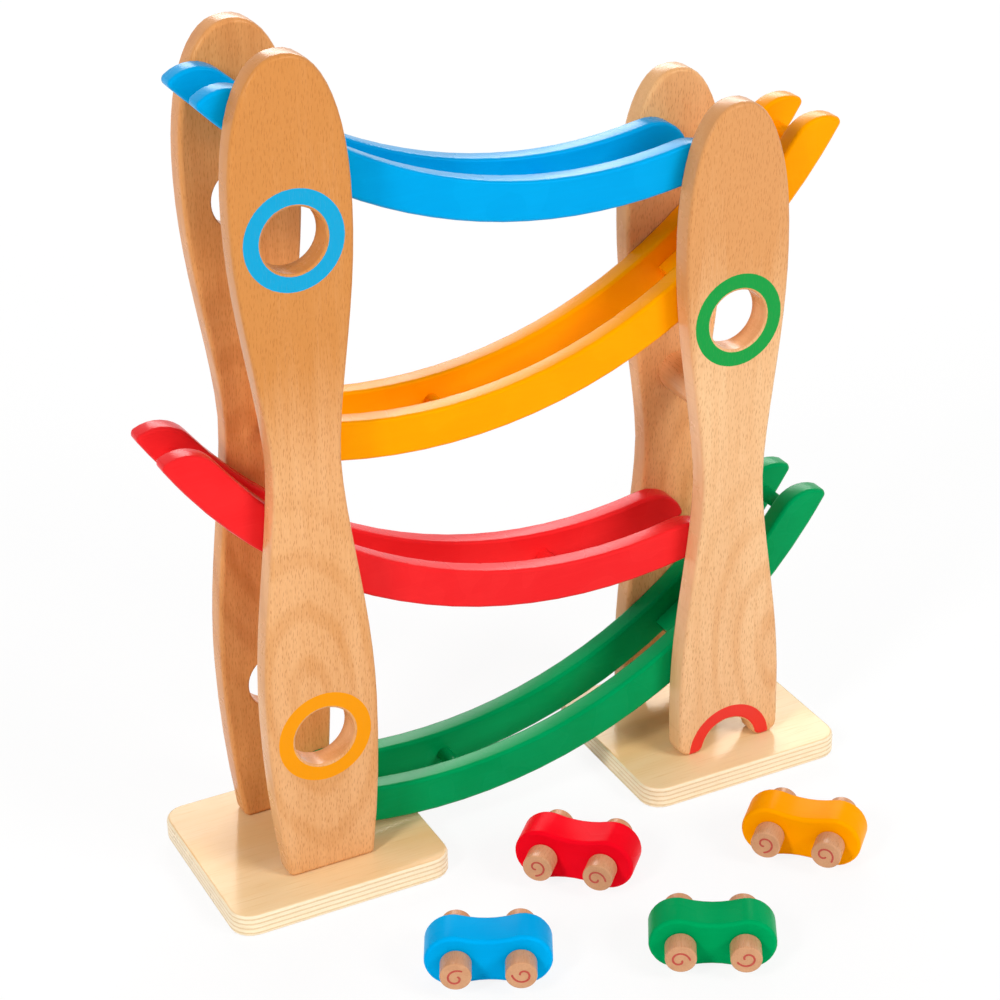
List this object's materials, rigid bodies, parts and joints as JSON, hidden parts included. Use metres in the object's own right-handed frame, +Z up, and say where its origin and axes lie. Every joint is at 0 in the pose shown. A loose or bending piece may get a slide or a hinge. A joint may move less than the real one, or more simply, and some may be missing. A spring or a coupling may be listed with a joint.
{
  "type": "click clack track toy",
  "caption": "Wooden track toy: two panel towers hold stacked, curved double rails down which narrow-waisted cars run by their wheels.",
  "frame": {"origin": "middle of the whole object, cars included, on the floor", "axes": "+X to the right across the front, +Y to the back, +Z up"},
  "size_m": [0.3742, 0.2658, 0.4485],
  "materials": {
    "beech": "lacquered beech",
    "birch_plywood": "lacquered birch plywood",
    "steel": "zinc plated",
    "blue_paint": "glossy paint on wood",
    "green_paint": "glossy paint on wood",
    "red_paint": "glossy paint on wood",
    "yellow_paint": "glossy paint on wood"
  },
  "bodies": {
    "track_stand": {"left_base": "birch_plywood", "right_base": "birch_plywood", "left_front_panel": "beech", "left_back_panel": "beech", "right_front_panel": "beech", "right_back_panel": "beech", "crossbar": "beech", "green_front_rail": "green_paint", "green_back_rail": "green_paint", "red_front_rail": "red_paint", "red_back_rail": "red_paint", "yellow_front_rail": "yellow_paint", "yellow_back_rail": "yellow_paint", "blue_front_rail": "blue_paint", "blue_back_rail": "blue_paint", "green_low_dowel": "green_paint", "red_low_dowel": "red_paint", "yellow_low_dowel": "yellow_paint", "blue_low_dowel": "blue_paint", "green_horn_dowel": "green_paint", "red_horn_dowel": "red_paint", "yellow_horn_dowel": "yellow_paint", "green_landing_board": "green_paint", "red_landing_board": "red_paint", "yellow_landing_board": "yellow_paint", "left_pins": "beech", "right_pins": "beech", "left_screws": "steel", "right_screws": "steel"},
    "blue_car": {"blue_car_body": "blue_paint"},
    "blue_front_wheels": {"blue_front_axle": "beech", "blue_front_near_wheel": "beech", "blue_front_far_wheel": "beech"},
    "blue_rear_wheels": {"blue_rear_axle": "beech", "blue_rear_near_wheel": "beech", "blue_rear_far_wheel": "beech"},
    "green_car": {"green_car_body": "green_paint"},
    "green_front_wheels": {"green_front_axle": "beech", "green_front_near_wheel": "beech", "green_front_far_wheel": "beech"},
    "green_rear_wheels": {"green_rear_axle": "beech", "green_rear_near_wheel": "beech", "green_rear_far_wheel": "beech"},
    "red_car": {"red_car_body": "red_paint"},
    "red_front_wheels": {"red_front_axle": "beech", "red_front_near_wheel": "beech", "red_front_far_wheel": "beech"},
    "red_rear_wheels": {"red_rear_axle": "beech", "red_rear_near_wheel": "beech", "red_rear_far_wheel": "beech"},
    "yellow_car": {"yellow_car_body": "yellow_paint"},
    "yellow_front_wheels": {"yellow_front_axle": "beech", "yellow_front_near_wheel": "beech", "yellow_front_far_wheel": "beech"},
    "yellow_rear_wheels": {"yellow_rear_axle": "beech", "yellow_rear_near_wheel": "beech", "yellow_rear_far_wheel": "beech"}
  },
  "joints": [
    {"name": "blue_car_push", "type": "slide", "parent": "track_stand", "child": "blue_car", "axis": [0.8949, -0.4462, 0], "range_m": [-0.02, 0.02]},
    {"name": "blue_front_wheels_turn", "type": "hinge", "parent": "blue_car", "child": "blue_front_wheels", "pos_m": [-0.06673, -0.06795, 0.0144], "axis": [0.4462, 0.8949, 0], "continuous": true},
    {"name": "blue_rear_wheels_turn", "type": "hinge", "parent": "blue_car", "child": "blue_rear_wheels", "pos_m": [-0.09537, -0.05367, 0.0144], "axis": [0.4462, 0.8949, 0], "continuous": true},
    {"name": "green_car_push", "type": "slide", "parent": "track_stand", "child": "green_car", "axis": [0.8738, -0.4863, 0], "range_m": [-0.02, 0.02]},
    {"name": "green_front_wheels_turn", "type": "hinge", "parent": "green_car", "child": "green_front_wheels", "pos_m": [0.03653, -0.10978, 0.0144], "axis": [0.4863, 0.8738, 0], "continuous": true},
    {"name": "green_rear_wheels_turn", "type": "hinge", "parent": "green_car", "child": "green_rear_wheels", "pos_m": [0.00857, -0.09422, 0.0144], "axis": [0.4863, 0.8738, 0], "continuous": true},
    {"name": "red_car_push", "type": "slide", "parent": "track_stand", "child": "red_car", "axis": [0.7242, -0.6896, 0], "range_m": [-0.015, 0.015]},
    {"name": "red_front_wheels_turn", "type": "hinge", "parent": "red_car", "child": "red_front_wheels", "pos_m": [0.00924, -0.01935, 0.0144], "axis": [0.6896, 0.7242, 0], "continuous": true},
    {"name": "red_rear_wheels_turn", "type": "hinge", "parent": "red_car", "child": "red_rear_wheels", "pos_m": [-0.01394, 0.00271, 0.0144], "axis": [0.6896, 0.7242, 0], "continuous": true},
    {"name": "yellow_car_push", "type": "slide", "parent": "track_stand", "child": "yellow_car", "axis": [0.7071, -0.7071, 0], "range_m": [-0.02, 0.02]},
    {"name": "yellow_front_wheels_turn", "type": "hinge", "parent": "yellow_car", "child": "yellow_front_wheels", "pos_m": [0.12306, -0.05877, 0.0144], "axis": [0.7071, 0.7071, 0], "continuous": true},
    {"name": "yellow_rear_wheels_turn", "type": "hinge", "parent": "yellow_car", "child": "yellow_rear_wheels", "pos_m": [0.10044, -0.03614, 0.0144], "axis": [0.7071, 0.7071, 0], "continuous": true}
  ]
}
